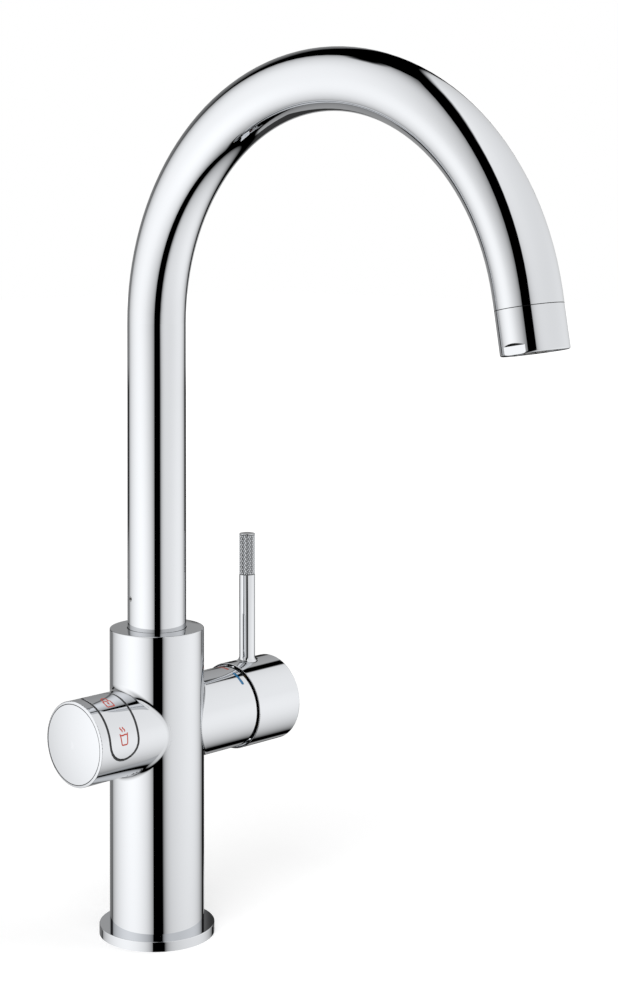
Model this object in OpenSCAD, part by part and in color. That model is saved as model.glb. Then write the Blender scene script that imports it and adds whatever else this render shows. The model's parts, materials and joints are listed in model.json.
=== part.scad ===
// Boiling water tap for a kitchen sink: a deck-mounted mixer with a swivelling
// arched spout, a push-button boiling water control on the user's left and a
// single-lever hot and cold mixer on the user's right.
//
// Millimetres. +Z is up, the spout points along -Y towards the user, the
// mixer lies along +X and the boiling water control along -X. The origin is
// the centre of the base on the worktop's top face.

/* [Body] */
// Diameter of the upright body
body_d = 45; // [42:0.5:54]
// Height of the body's top above the worktop
body_top = 145.7; // [138:0.1:180]
// Rounding of the body's foot where it meets the base ring
foot_r = 0.9; // [0.4:0.1:1.5]
// Rounding of the body's top edge
top_edge_r = 0.6; // [0.3:0.1:1.2]
// Width of the base ring that shows round the body
base_ledge = 5; // [4:0.5:9]
// Thickness of the base ring
base_h = 4.6; // [4:0.1:8]

/* [Spout] */
// Outer diameter of the spout tube
spout_d = 28; // [25:0.5:34]
// Wall of the spout tube
spout_wall = 1.5; // [1:0.1:2]
// Height of the centre of the spout's arch
arch_z = 291.2; // [240:0.1:360]
// Radius of the arch's centre line
arch_r = 110.4; // [85:0.1:140]
// How far round the arch turns from straight up
arch_turn = 170.2; // [150:0.1:180]
// Straight length between the end of the arch and the outlet seam
arch_tail = 4.4; // [2:0.1:12]
// Length of the outlet sleeve below the seam
outlet_l = 18.5; // [15:0.1:30]
// Rounding of the outlet's lower rim
outlet_edge_r = 0.8; // [0.3:0.1:1]
// Size across the two spanner flats on the outlet sleeve
outlet_flats = 26; // [24.5:0.1:27.4]
// Height of the spanner flats
outlet_flat_h = 3.5; // [2:0.1:6]
// Swing of the spout to each side
spout_swing = 75; // [30:1:110]
// Height of the spout's retaining screw above the body's top
spout_screw_rise = 14.8; // [12:0.1:16]
// Direction of the retaining screw, turned from +X
spout_screw_turn = 165; // [120:1:240]
// Diameter of the retaining screw
spout_screw_d = 2.4; // [2:0.1:3]
// Outer diameter of the inner boiling water tube
hot_tube_d = 8; // [6:0.5:9]
// Wall of the inner boiling water tube
hot_tube_wall = 1; // [0.6:0.1:1.5]

/* [Side housings] */
// Height of the axis that both side housings share
side_z = 99.25; // [82:0.05:106]
// Diameter of both side housings
side_d = 39.5; // [38:0.1:41]
// Radius of the cast fillet where they meet the upright
fillet_r = 3; // [1.5:0.1:4]
// Reach of the boiling water control from the body's axis
control_reach = 51.5; // [50:0.1:64]
// Wall of the control housing
control_wall = 1.8; // [1.5:0.1:2.6]
// Width of the rim that shows round the control's end disc
end_rim = 1.2; // [0.8:0.1:2]
// Slope of that rim
end_bevel = 22; // [0:1:35]
// Gap round the control's end disc
end_gap = 0.3; // [0.15:0.05:0.5]
// Height of the end disc's crown
end_crown = 1.4; // [0.4:0.1:2]

/* [Control button] */
// Distance of the button's middle from the body's axis
button_x = 37.5; // [36.5:0.1:38]
// Width of the button along the housing
button_w = 15.7; // [14:0.1:16.4]
// Length of the button round the housing
button_arc_l = 42; // [30:0.1:42.4]
// Direction of the button's middle, up from the front
button_tilt = 45; // [30:0.5:70]
// Thickness of the button
button_t = 1.3; // [1:0.1:1.8]
// Width of the dark frame and gap round the button
button_gap = 1.3; // [0.9:0.1:1.5]
// Depth of the button's pivot pin under the housing's outer face
button_pivot_depth = 8.7; // [8:0.1:9.5]
// Diameter of the button's pivot pin
button_pin_d = 2; // [1.5:0.1:2.5]

/* [Mixer] */
// Reach of the fixed mixer housing from the body's axis
boss_reach = 48.4; // [46:0.1:56]
// Gap between the mixer housing and its turning cap
cap_gap = 0.4; // [0.3:0.1:0.8]
// Diameter of the turning cap
cap_d = 42; // [41.6:0.1:44]
// Length of the turning cap
cap_l = 28.2; // [27:0.1:36]
// Wall of the cap's skirt
cap_wall = 0.85; // [0.6:0.05:0.9]
// Rounding of the cap's outer edge
cap_edge_r = 0.5; // [0.3:0.1:2]
// Rounding of the cap's open edge
cap_rim_r = 0.4; // [0.2:0.1:0.6]
// Diameter of the lever rod
lever_d = 7.9; // [7:0.1:10]
// Distance of the lever from the cap's open edge
lever_set = 12; // [11.5:0.1:13]
// Height of the lever's tip above the mixer's axis
lever_h = 84.4; // [60:0.1:110]
// Radius of the flare where the lever meets the cap
lever_flare_r = 2.4; // [1:0.1:3]
// Travel of the lever away from the body, from off to full flow
flow_travel = 20; // [15:1:22]
// Diameter of the mixer cartridge
cartridge_d = 29.8; // [29:0.1:30]
// Size across the cartridge's square stem
stem_w = 6.5; // [6:0.1:7]
// Start of the cold mark, up from the front
cold_mark_start = 44; // [30:0.5:46]
// Start of the hot mark, up from the front
hot_mark_start = 78.5; // [77:0.5:95]
// Sweep of each mark round the housing
mark_sweep = 25; // [10:1:30]
// Width of each mark
mark_w = 1.7; // [0.8:0.1:2]
// Distance of the marks from the mixer housing's end
mark_inset = 4.4; // [2:0.1:8]

/* [Fixing below the worktop] */
// Thickness of the worktop that the tap is shown clamped to
worktop_t = 30; // [10:1:42]
// Outer diameter of the threaded shank, for a 35 mm hole
shank_d = 33; // [32:0.1:34]
// Bore of the shank, which the hoses pass through
shank_bore = 28.6; // [28.4:0.1:29]
// Length of the shank below the worktop's top face
shank_l = 66; // [66:1:90]
// Outer diameter of the clamping washers
washer_d = 52; // [48:1:60]
// Size across the lock nut's flats
nut_flats = 50; // [48:1:56]
// Thickness of the lock nut
nut_h = 9; // [7:0.5:12]
// Diameter of the lock nut's jack screws
jack_d = 5; // [4:0.5:6]
// Tapping diameter of the hot and cold hose inlets
inlet_d = 9; // [8:0.1:9.2]
// Tapping diameter of the boiling water inlet
hot_inlet_d = 7; // [6:0.1:7.6]
// Depth of the hose inlets
inlet_depth = 12; // [8:0.5:13]

/* [Hidden] */
$fn = 96;

// Colours
chrome = "gainsboro";
steel = "silver";
brass = "goldenrod";
black_plastic = "dimgray";
white_plastic = "whitesmoke";
rubber = "darkslategray";
ceramic = "ivory";

// Clearances
cut = 1;             // how far a cutter runs past the face that it cuts
seat = 0.05;         // between pieces that are screwed or pressed together
running = 0.06;      // between a turning piece and what it turns on
clear = 0.3;         // between pieces that must not rub
weld = 0.01;         // how much fuller a welded-on stretch is than the tube that it laps
seal_play = 0.02;    // between a sealing ring and the floor of its groove

// Body
body_r = body_d / 2;
base_r = body_r + base_ledge;
side_r = side_d / 2;
shank_r = shank_d / 2;
register_r = shank_r + 1.5;
base_seal_t = 1.5;
register_h = base_h - base_seal_t - 0.1;
socket_h = 12;

// Inlet block in the foot of the body
block_z = base_h + socket_h;
block_h = 18;
block_top = block_z + block_h;
mixed_port_at = [8.4, 0];
side_inlet_at = [6.6, 7];
cable_hole_at = [-9, 5];
passage_r = 3;
block_groove = 1.3;
cable_r = 2.5;

// Spout
spout_r = spout_d / 2;
spout_bore_r = spout_r - spout_wall;
spigot_r = spout_bore_r - 0.4;
spigot_bore_r = spigot_r - 2.6;
spigot_rise = 33;
recess_depth = 3;
recess_r = spout_r + clear;
recess_z = body_top - recess_depth;
washer_t = 1;
spout_foot_z = recess_z + washer_t + running;
spigot_z = recess_z - 12;
spigot_socket_z = spigot_z - 2.5;
spigot_top = body_top + spigot_rise;
screw_z = body_top + spout_screw_rise;
screw_r = spout_screw_d / 2;
groove_floor_r = spigot_r - 1.7;
screw_tip_r = groove_floor_r + 0.2;
groove_play = asin((screw_r + running) / screw_tip_r) + 0.5;
glide_places = [body_top + 3, spigot_top - 3.5];
glide_groove = 0.8;
seal_places = [screw_z + 5, screw_z + 9];
spigot_groove = 1.1;

// Inner boiling water tube
tube_r = hot_tube_d / 2;
tube_bore_r = tube_r - hot_tube_wall;
riser_z = block_top - 6;
riser_top = spigot_top - 2;
coupling_r = tube_r + 2.2;
coupling_l = 18;
coupling_z = riser_top - coupling_l / 2;
coupling_groove = 1.1;
coupling_seal_z = coupling_z + 4;

// Outlet
outlet_end = arch_tail + outlet_l;
sleeve_lap = 4;
sleeve_groove = 0.8;
insert_r = spout_bore_r - 0.3;
insert_h = 11;
insert_top = outlet_end - 0.8 - insert_h;
nozzle_r = tube_r + 0.8;
nozzle_h = 10;
nozzle_socket = 5;

// Control housing
cavity_r = side_r - control_wall;
cavity_depth = control_reach - 10;
disc_t = 2.2;
disc_r = side_r - end_rim - end_gap;
end_edge_r = 0.3;
end_slope_h = (end_rim - end_edge_r) * tan(end_bevel);
crown_r = (disc_r * disc_r + end_crown * end_crown) / (2 * end_crown);
plug_l = 2.4;
plug_groove = 0.9;
carrier_r = cavity_r - 0.25;
carrier_back = control_reach - cavity_depth + 2;
carrier_front = control_reach - disc_t - plug_l - 0.2;
pivot_r = side_r - button_pivot_depth;
board_t = 1.2;
board_r = pivot_r - 3.4;
board_w = 14;
board_l = 23;
pocket_w = board_w + 1.6;
pocket_l = board_l + 1.6;
switch_at = 9;
switch_h = 2.2;
plunger_r = 1.6;
lug_w = 3.8;
lug_l = 6.8;
window_floor = cavity_r * cos(12 + button_arc_l / 2 * 180 / (PI * side_r));
end_steps = 12;      // straight steps in each rounded end of the button

// Fillets
fillet_sink = 0.06;  // how far a fillet's edges lie under the faces that it joins
fillet_arcs = 5;     // straight steps across a fillet
fillet_turns = 72;   // straight steps round a fillet

// Mixer
boss_bore_r = cartridge_d / 2 + 0.1;
nut_bore_r = boss_bore_r + 1;
cavity_floor = 12;
base_t = 4.3;
disc_h = 3;
fixed_x = cavity_floor + 0.2 + base_t;
moving_x = fixed_x + disc_h + seat;
carrier_x = moving_x + disc_h;
carrier_h = 3;
rotor_x = carrier_x + carrier_h + 0.8;
rotor_end = boss_reach - 8;
stem_pivot = rotor_x + 6.7;
housing_r = cartridge_d / 2;
housing_bore_r = housing_r - 2.2;
rotor_r = housing_bore_r - 0.1;
disc_start = -1.5;
ball_r = 2;
ball_x = carrier_x + clear + ball_r;
stem_pin_r = 1.3;
slot_l = stem_w + 1 + 2 * (rotor_end - stem_pivot) * tan(flow_travel);
cap_r = cap_d / 2;
cap_x = boss_reach + cap_gap;
cap_end = cap_x + cap_l;
cap_floor = cap_x + 7.6;
lever_x = cap_x + lever_set;
lever_r = lever_d / 2;
stem_end = cap_floor + 9;
tang_r = lever_r - 1;
tang_l = 11;
grub_r = 2.5;
grub_l = 8;
mark_depth = 0.5;
port_r = 2.8;
port_places = [[-7, -6], [7, -6], [0, 8]];

// Fixing below the worktop
under_seal_t = 3;
clamp_t = 2;
jack_reach = 3;
nut_top = -worktop_t - under_seal_t - clamp_t - jack_reach;
jack_head_r = jack_d * 0.9;
jack_ring_r = shank_r + jack_head_r + 0.6;
jack_count = 3;

// ---- Helpers ----

// A round solid along Z from z0 to z1
module rod(r, z0, z1) {
    translate([0, 0, z0]) cylinder(r = r, h = z1 - z0);
}

// A tube along Z from z0 to z1
module pipe(r, bore_r, z0, z1) {
    difference() {
        rod(r, z0, z1);
        rod(bore_r, z0 - cut, z1 + cut);
    }
}

// Places children that are drawn along +Z so that they lie along +X on the side axis
module along_x() {
    translate([0, 0, side_z]) rotate([0, 90, 0]) children();
}

// Places children drawn along +Z so that they lie along -X on the side axis
module along_minus_x() {
    translate([0, 0, side_z]) rotate([0, -90, 0]) children();
}

// Outline of a round bar of radius r and length l, with its far edge rounded, for turning about Y
module bar_profile(r, l, edge) {
    square([r, l - edge]);
    square([r - edge, l]);
    translate([r - edge, l - edge]) circle(edge, $fn = 48);
}

// Places children, drawn along the flow from the end of the arch, at the outlet
module at_outlet() {
    translate([0, -arch_r * (1 - cos(arch_turn)), arch_z + arch_r * sin(arch_turn)])
        rotate([arch_turn, 0, 0]) children();
}

// A tube that rises from z0, follows the arch and ends tail beyond it
module arched_pipe(r, bore_r, z0, tail) {
    pipe(r, bore_r, z0, arch_z);
    translate([0, -arch_r, arch_z]) rotate([90, 0, 90])
        rotate_extrude(angle = arch_turn) translate([arch_r, 0]) difference() {
            circle(r);
            circle(bore_r);
        }
    at_outlet() pipe(r + weld, bore_r - weld, -50 * weld, tail);
}

// A sealing ring round Z at height z: its section's radius and the radius that it lies on
module seal_ring(section_r, floor_r, z) {
    translate([0, 0, z]) rotate_extrude() translate([floor_r + section_r + seal_play, 0])
        circle(section_r, $fn = 32);
}

// What a square-cut groove round a shaft of radius r takes off
module groove(r, depth, z, h) {
    translate([0, 0, z - h / 2]) difference() {
        cylinder(r = r + cut, h = h);
        translate([0, 0, -cut]) cylinder(r = r - depth, h = h + 2 * cut);
    }
}

// Section of a fillet between a pin that stands up along Z and a barrel that lies along X, at
// an angle round the pin: the arc of a ball that rolls in the corner, and a point in the metal
function fillet_section(pin_r, barrel_r, r, a) =
    let (h = pin_r + r - fillet_sink, u = barrel_r + r - fillet_sink,
         x = h * cos(a), y = h * sin(a), z = sqrt(u * u - y * y),
         to_pin = [-x, -y, 0] / h, to_barrel = [0, -y, -z] / u, bend = acos(to_pin * to_barrel),
         core = pin_r - 1, side = core * sin(a))
    concat(
        [for (i = [0 : fillet_arcs]) let (turn = i / fillet_arcs * bend)
            [x, y, z] + r * (sin(bend - turn) * to_pin + sin(turn) * to_barrel) / sin(bend)],
        [[core * cos(a), side, sqrt(pow(barrel_r - 1, 2) - side * side)]]);

// Fillet all round the foot of a pin that stands on a barrel
module fillet_ring(pin_r, barrel_r, r) {
    n = fillet_arcs + 2;
    points = [for (k = [0 : fillet_turns - 1])
        each fillet_section(pin_r, barrel_r, r, k * 360 / fillet_turns)];
    faces = [for (k = [0 : fillet_turns - 1], i = [0 : n - 1], half = [0, 1])
        let (here = k * n, next = (k + 1) % fillet_turns * n, j = (i + 1) % n)
        half == 0 ? [here + j, here + i, next + j] : [here + i, next + i, next + j]];
    polyhedron(points, faces);
}

// ---- Base and body ----

module base_ring() color(chrome) {
    difference() {
        rotate_extrude() bar_profile(base_r, base_h, 0.3);
        rod(shank_r + clear, -cut, base_h);
        rod(register_r + seat, base_h - register_h, base_h + cut);
        pipe(base_r - 2.5, register_r + 2, -cut, base_seal_t + 0.1);
    }
}

module base_seal() color(rubber) pipe(base_r - 2.6, register_r + 2.1, 0, base_seal_t);

// The cast outside of the body: the upright and the two side housings
module body_casting() {
    translate([0, 0, base_h]) rotate_extrude() {
        translate([0, foot_r]) bar_profile(body_r, body_top - base_h - foot_r, top_edge_r);
        square([body_r - foot_r, 2 * foot_r]);
        translate([body_r - foot_r, foot_r]) circle(foot_r, $fn = 48);
    }
    rod(register_r, base_h - register_h + seat, base_h + cut);
    along_minus_x() rotate_extrude() {
        bar_profile(side_r, control_reach - end_slope_h, end_edge_r);
        polygon([
            [0, control_reach - 1],
            [side_r - end_edge_r, control_reach - 1],
            [side_r - end_edge_r, control_reach - end_slope_h],
            [side_r - end_rim, control_reach],
            [0, control_reach]
        ]);
    }
    along_x() rotate_extrude() bar_profile(side_r, boss_reach, 0.3);
    along_x() fillet_ring(side_r, body_r, fillet_r);
    along_minus_x() fillet_ring(side_r, body_r, fillet_r);
}

// Waterways, shank socket and spigot socket inside the body
module body_passages() {
    rod(shank_r + seat, 0, block_top + 0.2);
    rod(tube_r + clear, block_top, spigot_socket_z + cut);
    rod(spigot_r + seat, spigot_socket_z, recess_z + cut);
    rod(recess_r, recess_z, body_top + cut);
    for (side = [-1, 1]) {
        translate([side_inlet_at[0], side * side_inlet_at[1], 0])
            rod(passage_r, block_top, side_z + port_places[0][1] + passage_r);
        translate([side_inlet_at[0], side * port_places[1][0], side_z + port_places[0][1]])
            rotate([0, 90, 0]) cylinder(r = port_r, h = cavity_floor - side_inlet_at[0] + cut);
    }
    translate([mixed_port_at[0], mixed_port_at[1], 0])
        rod(port_r, side_z + port_places[2][1], spigot_socket_z + cut);
    translate([mixed_port_at[0], mixed_port_at[1], side_z + port_places[2][1]])
        rotate([0, 90, 0]) cylinder(r = port_r, h = cavity_floor - mixed_port_at[0] + cut);
    translate([cable_hole_at[0], cable_hole_at[1], 0]) rod(cable_r, block_top, side_z - cavity_r + 6);
}

// Room for the cartridge in the right housing and for the control in the left one
module housing_cavities() {
    along_x() {
        rod(boss_bore_r, cavity_floor, boss_reach + cut);
        rod(nut_bore_r, rotor_end - 1, boss_reach + cut);
    }
    along_minus_x() {
        rod(cavity_r, control_reach - cavity_depth, control_reach + cut);
        rod(disc_r + end_gap, control_reach - disc_t, control_reach + cut);
    }
    button_prism(button_gap);
}

module tap_body() color(chrome) difference() {
    body_casting();
    body_passages();
    housing_cavities();
    for (start = [cold_mark_start, hot_mark_start]) mark_band(start, 0);
}

// ---- Spout ----

module spout_spigot() color(brass) difference() {
    rod(spigot_r, spigot_z, spigot_top);
    rod(spigot_bore_r, spigot_z - cut, spigot_top + cut);
    for (z = glide_places) groove(spigot_r, glide_groove, z, 3);
    for (z = seal_places) groove(spigot_r, spigot_groove, z, 1.8);
    translate([0, 0, screw_z - screw_r - 0.5])
        rotate_extrude(angle = 2 * (spout_swing + groove_play),
                       start = spout_screw_turn - spout_swing - groove_play)
            translate([groove_floor_r, 0]) square([spigot_r, 2 * screw_r + 1]);
}

module spigot_seals() color(rubber)
    for (z = seal_places) seal_ring(0.72, spigot_r - spigot_groove, z);

module glide_rings() color(white_plastic)
    for (z = glide_places)
        pipe(spout_bore_r - running, spigot_r - glide_groove + seat, z - 1.45, z + 1.45);

module spout_washer() color(white_plastic)
    pipe(recess_r - 0.15, spigot_r + 0.2, recess_z, recess_z + washer_t);

module spout_tube() color(chrome) difference() {
    arched_pipe(spout_r, spout_bore_r, spout_foot_z, arch_tail);
    at_spout_screw() rod(screw_r + seat, spigot_r, spout_r + cut);
}

// Places children, drawn along +Z out from the spout's axis, at the retaining screw
module at_spout_screw() {
    translate([0, 0, screw_z]) rotate([0, 90, spout_screw_turn]) children();
}

module spout_screw() color(steel) at_spout_screw() difference() {
    rod(screw_r, screw_tip_r, spout_r - 0.35);
    translate([0, 0, spout_r - 1.6]) cylinder(r = screw_r * 0.58, h = 2, $fn = 6);
}

// One spanner flat: what it takes off, on the side that the sign gives
module spanner_flat(side) {
    run_out = spout_r - outlet_flats / 2 + 0.5;
    translate([0, spout_r, outlet_end]) rotate([90, 0, 0]) linear_extrude(spout_d)
        polygon([
            [side * outlet_flats / 2, cut],
            [side * outlet_flats / 2, -outlet_flat_h],
            [side * (outlet_flats / 2 + run_out), -outlet_flat_h - run_out],
            [side * (outlet_flats / 2 + run_out), cut]
        ]);
}

module outlet_sleeve() color(chrome) at_outlet() difference() {
    union() {
        translate([0, 0, arch_tail + seat]) rotate_extrude()
            bar_profile(spout_r, outlet_l - seat, outlet_edge_r);
        rod(spout_bore_r - seat, arch_tail - sleeve_lap, arch_tail + cut);
    }
    rod(insert_r - 0.9, arch_tail - sleeve_lap - cut, outlet_end);
    rod(insert_r + seat, insert_top - seat, outlet_end + cut);
    groove(spout_bore_r - seat, sleeve_groove, arch_tail - sleeve_lap / 2, 1.4);
    spanner_flat(-1);
    spanner_flat(1);
}

module outlet_seal() color(rubber) at_outlet()
    seal_ring(0.4, spout_bore_r - seat - sleeve_groove, arch_tail - sleeve_lap / 2);

// Ring of small jets for the mixed water round the boiling water nozzle
module jet_insert() color(black_plastic) at_outlet() {
    jets = 20;
    jet_r = 0.75;
    jet_floor = 5.2;
    difference() {
        rod(insert_r, insert_top, insert_top + insert_h);
        rod(nozzle_r + seat, insert_top - cut, outlet_end);
        rod(insert_r - 1.5, insert_top - cut, insert_top + insert_h - jet_floor);
        for (i = [0 : jets - 1]) rotate([0, 0, i * 360 / jets])
            translate([(insert_r + nozzle_r) / 2, 0, 0]) rod(jet_r, insert_top, outlet_end);
    }
}

module boiling_nozzle() color(steel) at_outlet() difference() {
    rod(nozzle_r, outlet_end - nozzle_h, outlet_end);
    rod(tube_bore_r, outlet_end - nozzle_h - cut, outlet_end + cut);
    rod(tube_r + seat, outlet_end - nozzle_h - cut, outlet_end - nozzle_socket);
}

module boiling_tube() color(steel)
    arched_pipe(tube_r, tube_bore_r, riser_top + 0.5, outlet_end - nozzle_socket - seat);

module tube_coupling() color(brass) difference() {
    rod(coupling_r, coupling_z, coupling_z + coupling_l);
    rod(tube_r + running, coupling_z - cut, coupling_z + coupling_l + cut);
    rod(tube_r + running + coupling_groove, coupling_seal_z - 0.9, coupling_seal_z + 0.9);
}

module coupling_seal() color(rubber) seal_ring(0.5, tube_r + running, coupling_seal_z);

module boiling_riser() color(steel) pipe(tube_r, tube_bore_r, riser_z, riser_top);

// ---- Boiling water control ----

// Outline of the button, grown by a margin and laid flat across the direction it is pressed in.
// The lengths round the housing become chords, so that the finished edge is an even oval.
function button_outline(grow) =
    let (r = button_w / 2 + grow, straight = (button_arc_l - button_w) / 2)
    [for (end = [1, -1], i = [0 : end_steps])
        let (a = -90 + i * 180 / end_steps, s = end * (straight + r * cos(a)), x = end * r * sin(a))
        [side_r * sin(s * 180 / (PI * side_r)), x]];

// A block with the button's outline, grown by a margin, that reaches right through the wall
module button_prism(grow) {
    button_axes() translate([0, 0, window_floor]) linear_extrude(side_r + cut - window_floor)
        polygon(button_outline(grow));
}

// Turns children so that +Z points out through the button's middle, +X runs up round the
// housing and +Y along it
module button_axes() {
    translate([-button_x, 0, side_z]) rotate([90 - button_tilt, 0, 0]) rotate([0, 0, 90]) children();
}

module control_end_disc() color(chrome) along_minus_x() difference() {
    union() {
        rotate_extrude() intersection() {
            translate([0, control_reach - disc_t + seat]) square([disc_r, disc_t + end_crown]);
            translate([0, control_reach + end_crown - crown_r]) circle(crown_r, $fn = 720);
        }
        rod(cavity_r - seat, control_reach - disc_t - plug_l, control_reach - disc_t + cut);
    }
    rod(cavity_r - 2, control_reach - disc_t - plug_l - cut, control_reach - disc_t);
    groove(cavity_r - seat, plug_groove, control_reach - disc_t - plug_l / 2, 1.4);
}

module end_disc_seal() color(rubber) along_minus_x()
    seal_ring(0.43, cavity_r - seat - plug_groove, control_reach - disc_t - plug_l / 2);

// Dark frame in the housing's window, which the button moves in
module button_frame() color(black_plastic) intersection() {
    along_minus_x() pipe(side_r - 0.12, cavity_r, button_x - button_w, button_x + button_w);
    difference() {
        button_prism(button_gap - seat);
        button_prism(clear);
    }
}

// The button: a curved plate, the lug that it rocks on and a plunger over each switch
module button_panel() color(chrome) difference() {
    union() {
        intersection() {
            along_minus_x() pipe(side_r, side_r - button_t, button_x - button_w, button_x + button_w);
            button_prism(0);
        }
        intersection() {
            along_minus_x() rod(side_r - button_t / 2, button_x - button_w, button_x + button_w);
            button_axes() {
                translate([-lug_w / 2, -lug_l / 2, pivot_r - lug_w / 2]) cube([lug_w, lug_l, side_r]);
                for (end = [-1, 1]) translate([end * switch_at, 0, 0])
                    rod(plunger_r, board_r + board_t + switch_h + clear, side_r);
            }
        }
    }
    pivot_bore(button_pin_d / 2 + running, lug_l + cut);
}

// A cylinder on the axis that the button rocks about
module pivot_bore(r, l) {
    button_axes() translate([0, 0, pivot_r]) rotate([90, 0, 0]) cylinder(r = r, h = l, center = true);
}

module button_pin() color(steel) pivot_bore(button_pin_d / 2, pocket_w + 3);

module control_carrier() color(black_plastic) difference() {
    along_minus_x() rod(carrier_r, carrier_back, carrier_front);
    button_axes() translate([-pocket_l / 2, -pocket_w / 2, board_r - clear])
        cube([pocket_l, pocket_w, side_r]);
    pivot_bore(button_pin_d / 2 + seat, pocket_w + 3.2);
}

module circuit_board() color("seagreen") button_axes()
    translate([-board_l / 2, -board_w / 2, board_r]) cube([board_l, board_w, board_t]);

module button_switches() color(black_plastic) button_axes() for (end = [-1, 1])
    translate([end * switch_at, 0, board_r + board_t]) {
        translate([-2.25, -2.25, seat]) cube([4.5, 4.5, switch_h - 0.8]);
        rod(1.2, switch_h - 1.2, switch_h);
    }

// ---- Mixer ----

// Curved band of a mark that starts at an angle up from the front, drawn in by gap on every side
module mark_band(start, gap) {
    translate([boss_reach - mark_inset, 0, side_z]) rotate([0, 90, 0])
        rotate_extrude(angle = mark_sweep - 2 * gap, start = 270 - start - mark_sweep + gap)
            translate([side_r - mark_depth, gap - mark_w / 2])
                square([gap > 0 ? mark_depth - gap : cut, mark_w - 2 * gap]);
}

module cold_mark() color("steelblue") mark_band(cold_mark_start, seat);

module hot_mark() color("tomato") mark_band(hot_mark_start, seat);

module cartridge_base() color(white_plastic) along_x() difference() {
    rod(housing_r, cavity_floor + 0.2, fixed_x - seat);
    for (p = port_places) rotate([0, 0, 180]) translate([p[1], p[0], 0]) {
        rod(port_r, cavity_floor, fixed_x + cut);
        rod(port_r + 1.6, cavity_floor, cavity_floor + 1.4);
    }
}

module cartridge_seals() color(rubber) along_x() for (p = port_places)
    rotate([0, 0, 180]) translate([p[1], p[0], 0]) seal_ring(0.65, port_r + 0.1, cavity_floor + 0.7);

module fixed_disc() color(ceramic) along_x() difference() {
    rod(housing_bore_r - 0.1, fixed_x, fixed_x + disc_h);
    for (p = port_places) rotate([0, 0, 180]) translate([p[1], p[0], 0])
        rod(port_r, fixed_x - cut, fixed_x + disc_h + cut);
}

// Ceramic disc that slides and turns to open the ports, with its mixing chamber
module moving_disc() color(ceramic) along_x() translate([-disc_start, 0, 0]) difference() {
    rod(rotor_r - 3, moving_x, carrier_x);
    translate([-4.5, 0, 0]) rod(3, moving_x - cut, moving_x + 1.5);
    rod(3, moving_x - cut, moving_x + 1.5);
}

module disc_carrier() color(white_plastic) along_x() difference() {
    intersection() {
        translate([-disc_start, 0, 0]) rod(rotor_r - 3, carrier_x + seat, carrier_x + carrier_h);
        translate([0, 0, carrier_x + carrier_h / 2]) cube([3 * rotor_r, 13, 2 * carrier_h], center = true);
    }
    rod(ball_r + 0.15, carrier_x + 0.2 - cut, carrier_x + carrier_h + cut);
}

module cartridge_rotor() color(white_plastic) along_x() difference() {
    union() {
        rod(rotor_r, rotor_x, rotor_end - 2);
        intersection() {
            rod(rotor_r, carrier_x + 0.4, rotor_x + cut);
            for (side = [-1, 1]) translate([-6, side * 9 - 2.2, carrier_x]) cube([12, 4.4, carrier_h + 3]);
        }
    }
    translate([-slot_l / 2, -stem_w / 2 - 0.15, rotor_x - cut])
        cube([slot_l, stem_w + 0.3, rotor_end - rotor_x + 2 * cut]);
    translate([0, 0, stem_pivot]) rotate([90, 0, 0])
        cylinder(r = stem_pin_r + seat, h = 3 * rotor_r, center = true);
}

module cartridge_stem() color(steel) along_x() difference() {
    union() {
        translate([0, 0, ball_x]) sphere(ball_r, $fn = 48);
        rod(1.6, ball_x, rotor_x + 3);
        translate([-stem_w / 2, -stem_w / 2, rotor_x + 2]) cube([stem_w, stem_w, stem_end - rotor_x - 2]);
    }
    translate([0, 0, stem_pivot]) rotate([90, 0, 0])
        cylinder(r = stem_pin_r + running, h = 2 * stem_w, center = true);
}

module stem_pin() color(steel) along_x() translate([0, 0, stem_pivot]) rotate([90, 0, 0])
    cylinder(r = stem_pin_r, h = 2 * rotor_r - 1.5, center = true);

module cartridge_housing() color(white_plastic) along_x() difference() {
    rod(housing_r, fixed_x, rotor_end - seat);
    rod(housing_bore_r, fixed_x - cut, rotor_end - 2 + seat);
    rod(9.5, rotor_end - 3, rotor_end + cut);
}

// Retaining nut whose face is domed about the lever's pivot
module cartridge_nut() color(brass) along_x() {
    dome_r = boss_reach - stem_pivot + 4;
    difference() {
        intersection() {
            rod(nut_bore_r - seat, rotor_end, boss_reach + 6);
            translate([0, 0, stem_pivot]) sphere(dome_r);
        }
        rod(11.5, rotor_end - cut, boss_reach + 7);
    }
}

module mixer_cap() color(chrome) difference() {
    along_x() translate([0, 0, cap_x]) rotate_extrude() difference() {
        bar_profile(cap_r, cap_l, cap_edge_r);
        translate([cap_r - cap_rim_r, 0]) difference() {
            square(cap_rim_r);
            translate([0, cap_rim_r]) circle(cap_rim_r, $fn = 48);
        }
    }
    along_x() rod(cap_r - cap_wall, cap_x - cut, cap_floor);
    along_x() translate([-stem_w / 2 - seat, -stem_w / 2 - seat, cap_floor - cut])
        cube([stem_w + 2 * seat, stem_w + 2 * seat, stem_end - cap_floor + cut + seat]);
    translate([lever_x, 0, side_z]) rod(tang_r + seat, cap_r - tang_l, cap_r + cut);
    translate([lever_x, 0, side_z]) rod(grub_r + seat, -cap_r - cut, 0);
}

// The lever: a round rod whose flared foot sits on the cap, and a tang inside the cap
module lever_rod() color(chrome) {
    foot_z = cap_r - 1.5;
    difference() {
        translate([lever_x, 0, side_z]) {
            translate([0, 0, foot_z]) rotate_extrude() bar_profile(lever_r, lever_h - foot_z, 0.6);
            fillet_ring(lever_r, cap_r, lever_flare_r);
        }
        along_x() rod(cap_r + seat, cap_x - cut, cap_end + cut);
    }
    translate([lever_x, 0, side_z]) rod(tang_r, cap_r - tang_l + 0.5, cap_r + cut);
}

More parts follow.
